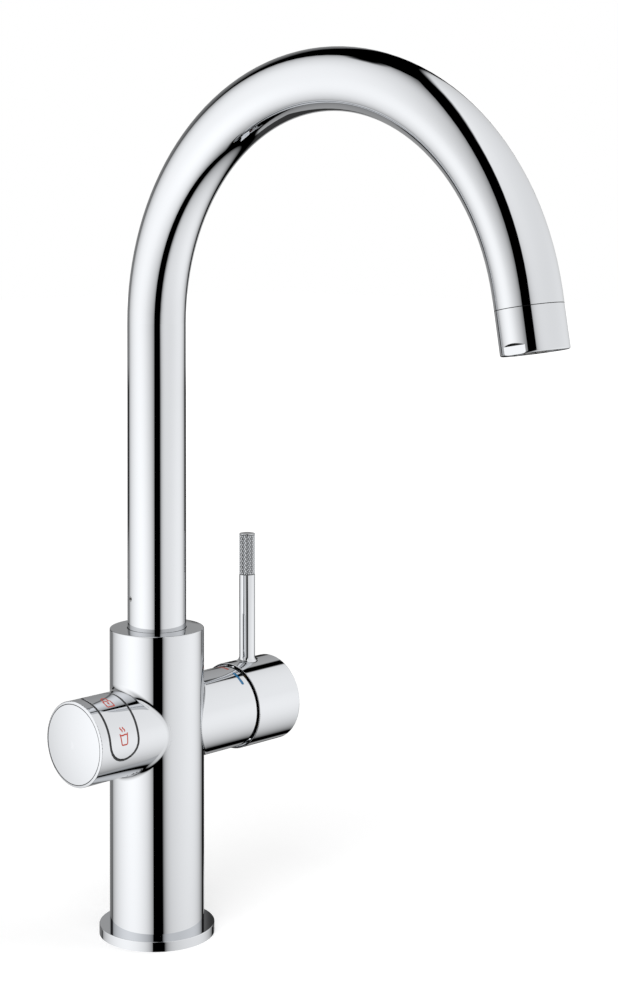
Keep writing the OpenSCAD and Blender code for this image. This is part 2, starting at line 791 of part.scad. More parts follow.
module cap_screw() color(steel) translate([lever_x, 0, side_z - stem_w / 2]) difference() {
    rod(grub_r, -grub_l, -seat);
    translate([0, 0, -grub_l - cut]) cylinder(r = grub_r * 0.56, h = 4, $fn = 6);
}

// ---- Inlets and fixing below the worktop ----

module inlet_block() color(brass) difference() {
    rod(shank_r - seat, block_z + seat, block_top);
    groove(shank_r - seat, block_groove, block_z + block_h / 2, 2.2);
    for (side = [-1, 1]) translate([side_inlet_at[0], side * side_inlet_at[1], 0]) {
        rod(inlet_d / 2, block_z - cut, block_z + inlet_depth);
        rod(passage_r, block_z, block_top + cut);
    }
    rod(hot_inlet_d / 2, block_z - cut, block_z + inlet_depth - 1);
    rod(tube_bore_r, block_z, block_top);
    rod(tube_r + seat, riser_z - seat, block_top + cut);
    translate([cable_hole_at[0], cable_hole_at[1], 0]) rod(cable_r, block_z - cut, block_top + cut);
}

module inlet_block_seal() color(rubber)
    seal_ring(0.6, shank_r - seat - block_groove, block_z + block_h / 2);

module cable_grommet() color(rubber) translate([cable_hole_at[0], cable_hole_at[1], 0]) difference() {
    rod(cable_r - seat, block_z, block_z + 5);
    rod(1.6, block_z - cut, block_z + 6);
}

module shank() color(brass) pipe(shank_r, shank_bore / 2, -shank_l, block_z);

module under_seal() color(rubber)
    pipe(washer_d / 2, shank_r + 0.5, -worktop_t - under_seal_t, -worktop_t);

module clamp_washer() color(steel)
    pipe(washer_d / 2, shank_r + clear, -worktop_t - under_seal_t - clamp_t, -worktop_t - under_seal_t);

// Places children at each jack screw
module at_jacks() {
    for (i = [0 : jack_count - 1]) rotate([0, 0, 60 + i * 360 / jack_count])
        translate([jack_ring_r, 0, nut_top]) children();
}

module lock_nut() color(brass) difference() {
    translate([0, 0, nut_top - nut_h]) cylinder(d = nut_flats / cos(30), h = nut_h, $fn = 6);
    rod(shank_r + seat, nut_top - nut_h - cut, nut_top + cut);
    at_jacks() rod(jack_d / 2 + seat, -nut_h - cut, cut);
}

module jack_screws() color(steel) at_jacks() {
    rod(jack_d / 2, -nut_h - 6, jack_reach);
    translate([0, 0, -nut_h - 9]) cylinder(r = jack_head_r, h = 3.2, $fn = 6);
}

base_ring();
base_seal();
tap_body();
spout_spigot();
spigot_seals();
glide_rings();
spout_washer();
spout_tube();
spout_screw();
outlet_sleeve();
outlet_seal();
jet_insert();
boiling_nozzle();
boiling_tube();
tube_coupling();
coupling_seal();
boiling_riser();
control_end_disc();
end_disc_seal();
button_frame();
button_panel();
button_pin();
control_carrier();
circuit_board();
button_switches();
mixer_cap();
lever_rod();
cap_screw();
cold_mark();
hot_mark();
cartridge_base();
cartridge_seals();
fixed_disc();
moving_disc();
disc_carrier();
cartridge_rotor();
cartridge_stem();
stem_pin();
cartridge_housing();
cartridge_nut();
inlet_block();
inlet_block_seal();
cable_grommet();
shank();
under_seal();
clamp_washer();
lock_nut();
jack_screws();
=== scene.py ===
"""A boiling water tap in chrome: a swivelling arched spout on an upright body, a push-button
control for the boiling water on one side and a single-lever mixer on the other.

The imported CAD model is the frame. This script gives it its finishes, adds the fine detail
that shows, and sets the studio round it. Blender works in metres; sizes here are written in
millimetres and multiplied by MM. +Z is up, the spout points along -Y, the mixer along +X."""
import json
import math

import bmesh
import bpy
from mathutils import Matrix, Vector


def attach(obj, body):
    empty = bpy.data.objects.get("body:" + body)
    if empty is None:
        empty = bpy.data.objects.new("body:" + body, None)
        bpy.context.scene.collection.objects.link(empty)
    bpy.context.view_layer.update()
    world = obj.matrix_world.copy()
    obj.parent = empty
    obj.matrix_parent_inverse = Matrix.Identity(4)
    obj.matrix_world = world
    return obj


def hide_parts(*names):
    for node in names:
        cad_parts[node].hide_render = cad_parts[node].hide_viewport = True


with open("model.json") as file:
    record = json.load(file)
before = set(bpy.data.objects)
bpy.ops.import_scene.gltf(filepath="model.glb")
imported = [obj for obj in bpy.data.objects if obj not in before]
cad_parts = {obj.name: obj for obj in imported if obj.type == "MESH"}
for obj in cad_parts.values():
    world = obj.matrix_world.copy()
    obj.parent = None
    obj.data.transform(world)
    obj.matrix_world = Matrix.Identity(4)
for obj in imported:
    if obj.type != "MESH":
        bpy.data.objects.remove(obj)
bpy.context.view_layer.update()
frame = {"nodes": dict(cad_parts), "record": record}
nodes = frame["nodes"]

MM = 0.001

# Sizes of the tap that the new pieces need, as in the CAD model
side_z = 99.25          # height of the axis that the control and the mixer share
side_r = 19.75          # radius of their housings
body_r = 22.5
body_top = 145.7
base_top = 4.6
top_edge_r = 0.6
recess_r = 14.3         # recess in the body's top, round the spout
fillet_r = 3            # cast corner between a housing and the body
button_x = -37.5
mark_x = 44             # middle of the cold and hot marks
cap_r = 21
lever_x = 60.8
lever_r = 3.95
lever_tip = side_z + 84.4
lever_flare_r = 2.4
knurl_low, knurl_top, knurl_depth = 163.1, 183.35, 0.2
shank_r, bore_r = 16.5, 14.3
shank_end, shank_top = -66, 16.6

# How far the upright's polished skin lies over the casting
skin = 0.02


# ---- Small tools ----

def tone(hex_code):
    """An sRGB hex colour as the linear colour that Blender works in."""
    parts = [int(hex_code[i:i + 2], 16) / 255 for i in (1, 3, 5)]
    return [c / 12.92 if c <= 0.04045 else ((c + 0.055) / 1.055) ** 2.4 for c in parts] + [1]


def add(tree, kind, *values, settings=None, out=0, **links):
    """Adds a node of a kind such as TexNoise, or such as Math.ADD where the node has a choice of
    work. values go to its inputs in their order. A link's name is an input's name, or in_6 for
    its place. Each is a socket to link or a constant to set. Gives back the output that out
    names."""
    kind, _, work = kind.partition(".")
    made = tree.nodes.new("ShaderNode" + kind)
    if work:
        choice = {"MapRange": "interpolation_type", "Mix": "data_type"}.get(kind, "operation")
        setattr(made, choice, work)
    for name, value in (settings or {}).items():
        setattr(made, name, value)
    inputs = list(enumerate(values))
    for name, value in links.items():
        inputs += [(int(name[3:]) if name.startswith("in_") else name.replace("_", " "), value)]
    for place, value in inputs:
        if isinstance(value, bpy.types.NodeSocket):
            tree.links.new(value, made.inputs[place])
        else:
            made.inputs[place].default_value = value
    return made.outputs[out]


def finish(name, colour, metallic, roughness):
    """A new material with one shader, and its tree, its shader's inputs and its Object
    coordinates."""
    made = bpy.data.materials.new(name)
    made.use_nodes = True
    tree = made.node_tree
    shader = tree.nodes["Principled BSDF"]
    shader.inputs["Base Color"].default_value = tone(colour)
    shader.inputs["Metallic"].default_value = metallic
    shader.inputs["Roughness"].default_value = roughness
    spot = tree.nodes.new("ShaderNodeTexCoord").outputs["Object"]
    return made, tree, shader.inputs, spot


def placed(name, shape, material):
    """A bmesh as an object of one material in the scene."""
    mesh = bpy.data.meshes.new(name)
    shape.to_mesh(mesh)
    shape.free()
    mesh.materials.append(material)
    made = bpy.data.objects.new(name, mesh)
    bpy.context.scene.collection.objects.link(made)
    return made


def crease(shape, most=35):
    """Leaves the shading sharp at edges that turn by more than most degrees."""
    for edge in shape.edges:
        edge.smooth = edge.calc_face_angle(0) < math.radians(most)


def piece(name, shape, body, material, smooth=True, facing=None):
    """Turns a bmesh in mm into a piece that rides on a body. facing gives the normal at each
    vertex."""
    for face in shape.faces:
        face.smooth = smooth
        face.normal_update()
    made = placed(name, shape, material)
    made.data.transform(Matrix.Scale(MM, 4))
    if facing:
        made.data.normals_split_custom_set_from_vertices(facing)
    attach(made, body)
    return made


# ---- Studio ----

def studio_camera():
    """The photograph's view: all but level, so that the uprights stay parallel, with the lens
    shifted. It was solved from the picture's outlines, so the lens is in the picture's pixels."""
    width, height = 618, 1000
    focal, centre_x, centre_y = 1922.058, 270.379, 249.175
    lens = bpy.data.cameras.new("view")
    lens.sensor_fit = "VERTICAL"
    lens.sensor_height = 36
    lens.lens = focal * 36 / height
    lens.shift_x = (width / 2 - centre_x) / height
    lens.shift_y = (centre_y - height / 2) / height
    lens.clip_end = 20
    camera = bpy.data.objects.new("view", lens)
    bpy.context.scene.collection.objects.link(camera)
    camera.location = (-0.615213, -0.6808, 0.339111)
    camera.rotation_euler = (math.radians(90 - 0.8), 0, math.radians(-45.493))
    bpy.context.scene.camera = camera


def seen_level(tree):
    """1 for what is looked at, straight or in a reflection or through glass, and 0 for light that
    falls on things."""
    rays = tree.nodes.new("ShaderNodeLightPath").outputs
    seen = add(tree, "Math.MAXIMUM", rays["Is Camera Ray"], rays["Is Glossy Ray"])
    return add(tree, "Math.MAXIMUM", seen, rays["Is Transmission Ray"])


def studio_world():
    """Plain pale surroundings. They show white, and light the tap evenly with the lamps' help."""
    ambient, white = 0.58, 1
    world = bpy.data.worlds.new("studio")
    world.use_nodes = True
    tree = world.node_tree
    level = add(tree, "MapRange", seen_level(tree), 0, 1, ambient, white)
    tree.nodes["Background"].inputs["Color"].default_value = (1, 1, 1, 1)
    tree.links.new(level, tree.nodes["Background"].inputs["Strength"])
    bpy.context.scene.world = world


def studio_floor():
    """Plain pale floor. It is as white as the background, but keeps the soft shadow."""
    made, tree, paper, spot = finish("white paper floor", "#E8E8E8", 0, 1)
    paper["Specular IOR Level"].default_value = 0
    # It glows more with the distance, which the lamps light less, until it meets the background
    seen = seen_level(tree)
    far = add(tree, "VectorMath.LENGTH", spot, out="Value")
    level = add(tree, "MapRange", far, 0.3, 2.5, 0.34, 0.7)
    glow = add(tree, "Math.MULTIPLY", seen, level)
    tree.links.new(glow, paper["Emission Strength"])
    paper["Emission Color"].default_value = (1, 1, 1, 1)
    shape = bmesh.new()
    bmesh.ops.create_grid(shape, x_segments=1, y_segments=1, size=6)
    floor = placed("floor", shape, made)
    floor.visible_glossy = False


def studio_panels():
    """The softboxes and black flags that polished metal shows, as a dome round the tap. Only
    reflections see it: the background stays white and it lights nothing. Each panel's place and
    light were fitted to the stripes on the photograph's tubes and housings."""
    radius, middle = 0.519, Vector((-0.0217, 0.0171, 0.2155))
    made = bpy.data.materials.new("light panels")
    made.use_nodes = True
    tree = made.node_tree
    tree.nodes.clear()

    def mix_of(first, *terms):
        """first + the sum of each factor times its value."""
        total = first
        for factor, value in terms:
            total = add(tree, "Math.ADD", total, add(tree, "Math.MULTIPLY", value, factor))
        return total

    corner = tree.nodes.new("ShaderNodeTexCoord").outputs["Object"]
    out = add(tree, "VectorMath.SUBTRACT", corner, tuple(middle))
    out = add(tree, "VectorMath.NORMALIZE", out)
    height = add(tree, "SeparateXYZ", out, out="Z")
    height_2 = add(tree, "Math.MULTIPLY", height, height)

    def along(turn):
        """How far a direction from the dome's middle points towards the azimuth turn."""
        angle = math.radians(turn)
        return add(tree, "VectorMath.DOT_PRODUCT", out, (math.cos(angle), math.sin(angle), 0),
                   out="Value")

    def power(base, exponent):
        """base to the power exponent, and 0 where base is negative."""
        return add(tree, "Math.POWER", add(tree, "Math.MAXIMUM", base, 0.0), exponent)

    def cubic(weights, a, b):
        """A level that drifts smoothly over a and b: a cubic's ten weights, the lowest powers
        first. It doesn't fall below 0."""
        rest = iter(weights[1:])
        powers_a, powers_b = [1.0, a], [1.0, b]
        for powers, value in ((powers_a, a), (powers_b, b)):
            powers += [add(tree, "Math.MULTIPLY", value, value)]
            powers += [add(tree, "Math.MULTIPLY", powers[2], value)]
        terms = [(next(rest), add(tree, "Math.MULTIPLY", powers_a[order - k], powers_b[k]))
                 for order in (1, 2, 3) for k in range(order + 1)]
        return add(tree, "Math.MAXIMUM", mix_of(weights[0], *terms), 0.0)

    def panel(turn, left, right, top, bottom, rounding):
        """A flat softbox that faces the tap from the azimuth turn. left, right, top and bottom
        are the tangents of its edges' angles. Gives the place across it and up it, how near its
        rim that is (1 is the rim), how much that rim is its top or bottom, and 1 on its side."""
        ahead = add(tree, "Math.MAXIMUM", along(turn), 0.001)
        u = add(tree, "Math.DIVIDE", along(turn + 90), ahead)
        v = add(tree, "Math.DIVIDE", height, ahead)
        parts = []
        for place, high, low in ((u, left, right), (v, top, bottom)):
            centred = add(tree, "Math.SUBTRACT", place, (high - low) / 2)
            centred = add(tree, "Math.DIVIDE", centred, (high + low) / 2)
            parts += [add(tree, "Math.POWER", add(tree, "Math.ABSOLUTE", centred), rounding)]
        whole = add(tree, "Math.ADD", *parts)
        reach = add(tree, "Math.POWER", whole, 1 / rounding)
        share = add(tree, "Math.DIVIDE", parts[1], add(tree, "Math.ADD", whole, 1e-6))
        return u, v, reach, share, add(tree, "Math.GREATER_THAN", along(turn), 0.001)

    # Large softbox on the right. Its sides are sharp and its top and bottom a little softer; low
    # down its light falls off towards the rim.
    turn = -45.35
    _, _, reach, share, front = panel(turn, 1.364, 2.936, 2.329, 3.389, 2.472)
    lit = add(tree, "MapRange.SMOOTHSTEP", reach, mix_of(1.02, (0.063, share)), 0.95)
    lit = add(tree, "Math.MULTIPLY", lit, front)
    level = cubic((1.2045, 0.6295, -0.3062, 0.0966, -0.2615, -0.4211, -0.3623, 0.3585, -0.7807,
                   0.495), along(turn + 90), height)
    fall = mix_of(1.0, (-1.691, height), (0.638, height_2))
    fall = add(tree, "Math.MINIMUM", fall, 1.0)
    near = power(add(tree, "Math.MINIMUM", reach, 1.0), 1.994)
    rim = add(tree, "Math.SUBTRACT", 1.0, add(tree, "Math.MULTIPLY", fall, near))
    right_level = add(tree, "Math.MULTIPLY", add(tree, "Math.MULTIPLY", lit, level), rim)

    # White softbox that wraps round the left, brightest straight to the left
    side = along(-61.66)
    height_3 = add(tree, "Math.MULTIPLY", height_2, height)
    edge = mix_of(0.2323, (0.0097, height), (-0.0352, height_2), (0.0502, height_3))
    inside = add(tree, "Math.SUBTRACT", edge, side)
    steep = add(tree, "Math.ABSOLUTE", height)
    lit = add(tree, "Math.MULTIPLY", add(tree, "MapRange.SMOOTHSTEP", inside, -0.006, 0.006),
              add(tree, "MapRange.SMOOTHSTEP", steep, 0.999, 0.99))
    bright = power(add(tree, "Math.SUBTRACT", 0.016, along(0.88)), 0.3285)
    near = add(tree, "Math.SUBTRACT", 1.0, add(tree, "Math.DIVIDE", inside, 0.529))
    near = power(add(tree, "Math.MINIMUM", near, 1.0), 5.796)
    depth = mix_of(0.516, (0.0114, height), (0.0563, height_2))
    rim = add(tree, "Math.SUBTRACT", 1.0, add(tree, "Math.MULTIPLY", near, depth))
    level = cubic((0.7557, -0.8629, -0.5186, -0.0263, 0.2339, 0.358, 0.3294, 0.7764, 0.2274,
                   0.7884), side, height)
    left_level = add(tree, "Math.MULTIPLY", add(tree, "Math.MULTIPLY", lit, bright),
                     add(tree, "Math.MULTIPLY", rim, level))

    # Grey panel behind the tap
    u, v, reach, _, front = panel(43.65, 1.082, 0.477, 1.829, 1.427, 6.0)
    v_2 = add(tree, "Math.MULTIPLY", v, v)
    level = mix_of(0.444, (-0.206, u), (-0.032, v), (-0.097, v_2))
    lit = add(tree, "MapRange.SMOOTHSTEP", reach, 1.05, 0.95)
    back_level = add(tree, "Math.MULTIPLY", add(tree, "Math.MULTIPLY", lit, front),
                     add(tree, "Math.MAXIMUM", level, 0.0))
    # Black flags beside the view past the tap, which give the uprights their thin dark outlines
    for start, end, low, high in ((-0.9, -0.02, -0.85, 0.05), (0.45, 2.0, -0.3, 0.05)):
        covered = 0.9
        for place, edge, soft in ((u, start, 0.04), (u, end, -0.04), (v, low, 0.06),
                                  (v, high, -0.06)):
            past = add(tree, "MapRange.SMOOTHSTEP", place, edge, edge + soft)
            covered = add(tree, "Math.MULTIPLY", past, covered)
        open_part = add(tree, "Math.SUBTRACT", 1.0, covered)
        back_level = add(tree, "Math.MULTIPLY", back_level, open_part)

    level = add(tree, "Math.ADD", add(tree, "Math.ADD", right_level, left_level), back_level)
    glow = add(tree, "Emission", (1, 1, 1, 1), level)
    tree.links.new(glow, tree.nodes.new("ShaderNodeOutputMaterial").inputs["Surface"])
    shape = bmesh.new()
    bmesh.ops.create_uvsphere(shape, u_segments=128, v_segments=64, radius=radius)
    bmesh.ops.reverse_faces(shape, faces=shape.faces)
    bmesh.ops.translate(shape, vec=middle, verts=shape.verts)
    dome = placed("light panels", shape, made)
    for ray in ("camera", "diffuse", "shadow", "transmission", "volume_scatter"):
        setattr(dome, "visible_" + ray, False)


def studio_lamps():
    """Two large soft lamps. Polished metal sees the panels and not the lamps."""
    for name, place, size, watts in (("key lamp", (-1.2, -0.6, 1.6), 1.2, 15),
                                     ("fill lamp", (1.4, -1.0, 1.3), 1.4, 9)):
        lamp = bpy.data.lights.new(name, "AREA")
        lamp.size = size
        lamp.energy = watts
        holder = bpy.data.objects.new(name, lamp)
        bpy.context.scene.collection.objects.link(holder)
        holder.location = place
        aim = Vector((0, -0.1, 0.15)) - Vector(place)
        holder.rotation_euler = aim.to_track_quat("-Z", "Y").to_euler()
        holder.visible_glossy = False


bpy.context.scene.view_settings.view_transform = "Standard"
studio_camera()
studio_world()
studio_floor()
studio_panels()
studio_lamps()


# ---- Finishes ----

def joint_shade_zone(point, ahead, start, end, r=100):
    """Where shade is painted into the plate: from start to end mm past a point along ahead, and
    nearer than r mm to the line through that point."""
    def mask(tree, spot):
        away = add(tree, "VectorMath.SUBTRACT", spot, tuple(c * MM for c in point))
        along = add(tree, "VectorMath.DOT_PRODUCT", away, ahead, out="Value")
        off = add(tree, "VectorMath.CROSS_PRODUCT", away, ahead)
        off = add(tree, "VectorMath.LENGTH", off, out="Value")
        near = add(tree, "Math.LESS_THAN", off, r * MM)
        level = add(tree, "Math.COMPARE", along, (start + end) / 2 * MM, (end - start) / 2 * MM)
        return add(tree, "Math.MULTIPLY", near, level)
    return mask


def chrome_plate(name="chromium plate on polished brass", painted_shade=()):
    """Chromium plate on polished brass: a clean, faintly blue mirror. Hand polishing leaves it a
    hair uneven, and it carries the lightest film of handling, so its stripes are not dead hard.
    Each place that it is given is a joint where shade is painted into the plate: it is coloured
    near black there and made matt, which draws each joint as a dark line."""
    made, tree, metal, spot = finish(name, "#E2E4E7", 1, 0.016)
    # Chromium reflects a little less of what only grazes it
    metal["Specular Tint"].default_value = (0.75, 0.75, 0.75, 1)
    # Polishing drifts over about 12 mm, and the film of handling over about 30 mm
    drift = add(tree, "TexNoise", Vector=spot, Scale=1 / (12 * MM), Detail=2.0)
    film = add(tree, "TexNoise", Vector=spot, Scale=1 / (30 * MM), Detail=3.0)
    rough = add(tree, "MapRange", film, 0.35, 0.7, 0.008, 0.024)
    tint = add(tree, "Mix.RGBA", film, in_6=tone("#E3E5E8"), in_7=tone("#E1E3E6"), out=2)
    # Painted shade: near black in each joint, where shade falls, and rougher there
    for place in painted_shade:
        mask = place(tree, spot)
        tint = add(tree, "Mix.RGBA", mask, in_6=tint, in_7=tone("#2A2B2C"), out=2)
        rough = add(tree, "MapRange", mask, 0, 1, rough, 0.5)
    tree.links.new(tint, metal["Base Color"])
    tree.links.new(rough, metal["Roughness"])
    bump = add(tree, "Bump", Strength=1.0, Distance=0.004 * MM, Height=drift)
    tree.links.new(bump, metal["Normal"])
    return made


def knurled_chrome():
    """Chromium plate over a knurl: bright flats, and grooves coloured darker grey and made rougher
    towards their bottoms."""
    made, tree, metal, spot = finish("chromium plate on cut knurl", "#DADDE0", 1, 0.08)
    # The knurling wheel tears the grooves at about 0.3 mm
    grit = add(tree, "TexNoise", Vector=spot, Scale=1 / (0.3 * MM), Detail=2.0)
    across = add(tree, "VectorMath.MULTIPLY", spot, (1, 1, 0))
    across = add(tree, "VectorMath.SUBTRACT", across, (lever_x * MM, 0, 0))
    depth = add(tree, "VectorMath.LENGTH", across, out="Value")
    groove = add(tree, "MapRange", depth, (lever_r - 0.06) * MM, (lever_r - 0.18) * MM)
    tint = add(tree, "Mix.RGBA", grit, in_6=tone("#E3E5E8"), in_7=tone("#D3D6D9"), out=2)
    # Darker grey and rougher towards the bottom of the grooves
    tint = add(tree, "Mix.RGBA", groove, in_6=tint, in_7=tone("#76787A"), out=2)
    tree.links.new(tint, metal["Base Color"])
    rough = add(tree, "MapRange", groove, 0, 1, 0.04, 0.35)
    tree.links.new(rough, metal["Roughness"])
    return made


def turned_brass(axis):
    """CZ brass straight off the lathe: warm yellow with fine rings of tool marks round the
    axis."""
    made, tree, metal, spot = finish("turned brass, axis " + axis, "#C7A258", 1, 0.26)
    # Feed marks 0.15 mm apart in life, drawn 0.5 mm apart so that they show
    bands = {"wave_type": "BANDS", "bands_direction": axis, "wave_profile": "TRI"}
    rings = add(tree, "TexWave", settings=bands, Vector=spot, Scale=math.tau / (20 * 0.5 * MM),
                Distortion=0.4, Detail=1.0)
    stain = add(tree, "TexNoise", Vector=spot, Scale=1 / (7 * MM), Detail=4.0)
    tint = add(tree, "Mix.RGBA", stain, in_6=tone("#D2AE63"), in_7=tone("#A98446"), out=2)
    tree.links.new(tint, metal["Base Color"])
    rough = add(tree, "MapRange", stain, 0.3, 0.7, 0.2, 0.34)
    tree.links.new(rough, metal["Roughness"])
    bump = add(tree, "Bump", Strength=0.6, Distance=0.02 * MM, Height=rings)
    tree.links.new(bump, metal["Normal"])
    return made


def drawn_steel():
    """Drawn and brushed stainless steel, grade 304: soft grey with fine streaks."""
    made, tree, metal, spot = finish("brushed stainless steel", "#B9B8B5", 1, 0.28)
    # Streaks about 0.2 mm across and 6 mm long, up the tube
    stretched = add(tree, "Mapping", Vector=spot, Scale=(1, 1, 0.03))
    streaks = add(tree, "TexNoise", Vector=stretched, Scale=1 / (0.2 * MM), Detail=3.0)
    cloud = add(tree, "TexNoise", Vector=spot, Scale=1 / (9 * MM), Detail=3.0)
    rough = add(tree, "MapRange", streaks, 0.3, 0.7, 0.2, 0.38)
    tree.links.new(rough, metal["Roughness"])
    tint = add(tree, "Mix.RGBA", cloud, in_6=tone("#C3C2BF"), in_7=tone("#A9A8A6"), out=2)
    tree.links.new(tint, metal["Base Color"])
    bump = add(tree, "Bump", Strength=0.5, Distance=0.008 * MM, Height=streaks)
    tree.links.new(bump, metal["Normal"])
    return made


def seal_rubber():
    """Moulded EPDM rubber: near black and matt, with a pale dusty bloom in patches."""
    made, tree, soft, spot = finish("moulded EPDM rubber", "#1C1C1C", 0, 0.75)
    # Bloom in patches of about 4 mm, and the tool's grain of 0.25 mm
    bloom = add(tree, "TexNoise", Vector=spot, Scale=1 / (4 * MM), Detail=5.0)
    grain = add(tree, "TexNoise", Vector=spot, Scale=1 / (0.25 * MM), Detail=2.0)
    amount = add(tree, "MapRange", bloom, 0.45, 0.75, 0.0, 0.7)
    tint = add(tree, "Mix.RGBA", amount, in_6=tone("#191919"), in_7=tone("#33322F"), out=2)
    tree.links.new(tint, soft["Base Color"])
    rough = add(tree, "MapRange", bloom, 0.3, 0.7, 0.65, 0.85)
    tree.links.new(rough, soft["Roughness"])
    bump = add(tree, "Bump", Strength=0.5, Distance=0.03 * MM, Height=grain)
    tree.links.new(bump, soft["Normal"])
    return made


def moulded_nylon():
    """Glass-filled nylon, moulded in a spark-eroded tool: black with a fine satin grain."""
    made, tree, plastic, spot = finish("black glass-filled nylon", "#1E1F20", 0, 0.42)
    # Spark-eroded grain of about 0.15 mm, and fibres that cloud the surface over 1.5 mm
    grain = add(tree, "TexVoronoi", Vector=spot, Scale=1 / (0.15 * MM))
    fibres = add(tree, "TexNoise", Vector=spot, Scale=1 / (1.5 * MM), Detail=5.0)
    tint = add(tree, "Mix.RGBA", fibres, in_6=tone("#191A1B"), in_7=tone("#2A2B2D"), out=2)
    tree.links.new(tint, plastic["Base Color"])
    rough = add(tree, "MapRange", fibres, 0.3, 0.7, 0.34, 0.5)
    tree.links.new(rough, plastic["Roughness"])
    bump = add(tree, "Bump", Strength=0.35, Distance=0.012 * MM, Height=grain)
    tree.links.new(bump, plastic["Normal"])
    return made


def machined_acetal():
    """Acetal: a waxy off-white plastic that lets a little light in, with faint tool marks."""
    made, tree, plastic, spot = finish("white acetal", "#E4E3DD", 0, 0.36)
    plastic["Subsurface Weight"].default_value = 0.12
    plastic["Subsurface Radius"].default_value = (1.2 * MM, 1.1 * MM, 0.9 * MM)
    plastic["Subsurface Scale"].default_value = 1.0
    # Clouded over about 5 mm, with tool marks of 0.4 mm
    cloud = add(tree, "TexNoise", Vector=spot, Scale=1 / (5 * MM), Detail=4.0)
    marks = add(tree, "TexNoise", Vector=spot, Scale=1 / (0.4 * MM), Detail=3.0)
    tint = add(tree, "Mix.RGBA", cloud, in_6=tone("#E9E8E3"), in_7=tone("#DAD8D0"), out=2)
    tree.links.new(tint, plastic["Base Color"])
    rough = add(tree, "MapRange", marks, 0.3, 0.7, 0.3, 0.44)
    tree.links.new(rough, plastic["Roughness"])
    bump = add(tree, "Bump", Strength=0.3, Distance=0.01 * MM, Height=marks)
    tree.links.new(bump, plastic["Normal"])
    return made


def lapped_alumina():
    """Lapped alumina ceramic: cream, glassy where the discs rub, with tiny dark pores."""
    made, tree, stone, spot = finish("lapped alumina ceramic", "#EEE9DC", 0, 0.14)
    # Pores 0.7 mm apart, clouded over about 6 mm
    pores = add(tree, "TexVoronoi", Vector=spot, Scale=1 / (0.7 * MM), out="Distance")
    specks = add(tree, "MapRange", pores, 0.08, 0.14, 1.0, 0.0)
    cloud = add(tree, "TexNoise", Vector=spot, Scale=1 / (6 * MM), Detail=3.0)
    tint = add(tree, "Mix.RGBA", cloud, in_6=tone("#F1ECE0"), in_7=tone("#E6DFCE"), out=2)
    tint = add(tree, "Mix.RGBA", specks, in_6=tint, in_7=tone("#A79F8D"), out=2)
    tree.links.new(tint, stone["Base Color"])
    rough = add(tree, "MapRange", cloud, 0.3, 0.7, 0.1, 0.22)
    tree.links.new(rough, stone["Roughness"])
    return made


def solder_mask_board():
    """FR4 circuit board under green solder mask: the copper tracks show through as paler
    lines."""
    made, tree, laminate, spot = finish("FR4 board with solder mask", "#14603A", 0, 0.3)
    # Tracks 0.4 mm wide in rows 1.27 mm apart, as for surface-mounted parts
    turned = add(tree, "Mapping", Vector=spot, Rotation=(math.radians(45), 0, 0))
    tracks = add(tree, "TexBrick", settings={"offset": 0.5}, Vector=turned, Scale=1 / MM,
                 Mortar_Size=0.2, Brick_Width=5.08, Row_Height=1.27, out="Fac")
    cloud = add(tree, "TexNoise", Vector=spot, Scale=1 / (3 * MM), Detail=3.0)
    mask = add(tree, "Mix.RGBA", cloud, in_6=tone("#14603A"), in_7=tone("#0F5231"), out=2)
    tint = add(tree, "Mix.RGBA", tracks, in_6=mask, in_7=tone("#2F8A56"), out=2)
    tree.links.new(tint, laminate["Base Color"])
    bump = add(tree, "Bump", Strength=0.5, Distance=0.035 * MM, Height=tracks)
    tree.links.new(bump, laminate["Normal"])
    return made


def fired_enamel(name, colour, deep, middle, sweep=25, half_width=0.85):
    """Epoxy enamel laid in a groove round the mixer housing: glossy, a little deeper in colour
    where it lies thicker. The groove's square corners stay chrome, so the mark shows rounded
    ends. Angles are in degrees up from the front."""
    made, tree, paint, spot = finish(name, colour, 0, 0.22)
    x, y, z = (add(tree, "SeparateXYZ", spot, out=way) for way in "XYZ")
    rise = add(tree, "Math.SUBTRACT", z, side_z * MM)
    front = add(tree, "Math.MULTIPLY", y, -1.0)
    off = add(tree, "Math.ARCTAN2", rise, front)
    off = add(tree, "Math.SUBTRACT", off, math.radians(middle))
    off = add(tree, "Math.ABSOLUTE", off)
    # How far past the middle of the rounded end, along the mark and across it
    past = add(tree, "Math.SUBTRACT", off, math.radians(sweep / 2) - half_width / side_r)
    past = add(tree, "Math.MAXIMUM", past, 0.0)
    past = add(tree, "Math.MULTIPLY", past, side_r * MM)
    across = add(tree, "Math.SUBTRACT", x, mark_x * MM)
    flat = add(tree, "CombineXYZ", past, across)
    far = add(tree, "VectorMath.LENGTH", flat, out="Value")
    bare = add(tree, "MapRange", far, half_width * MM, (half_width + 0.04) * MM)
    thin = add(tree, "MapRange", far, 0.0, half_width * MM)
    tint = add(tree, "Mix.RGBA", thin, in_6=tone(colour), in_7=tone(deep), out=2)
    tint = add(tree, "Mix.RGBA", bare, in_6=tint, in_7=tone("#E1E4E7"), out=2)
    tree.links.new(tint, paint["Base Color"])
    tree.links.new(bare, paint["Metallic"])
    rough = add(tree, "MapRange", bare, 0, 1, 0.22, 0.05)
    tree.links.new(rough, paint["Roughness"])
    return made


def screen_ink():
    """Pad-printed epoxy ink: thin red-orange line work, satin, with the faint pinholes of a
    print, 0.2 mm across."""
    made, tree, film, spot = finish("red pad-printed ink", "#C83C24", 0, 0.45)
    pinholes = add(tree, "TexNoise", Vector=spot, Scale=1 / (0.2 * MM), Detail=2.0)
    tint = add(tree, "Mix.RGBA", pinholes, in_6=tone("#B8341E"), in_7=tone("#D0432A"), out=2)
    tree.links.new(tint, film["Base Color"])
    rough = add(tree, "MapRange", pinholes, 0.3, 0.7, 0.38, 0.55)
    tree.links.new(rough, film["Roughness"])
    return made
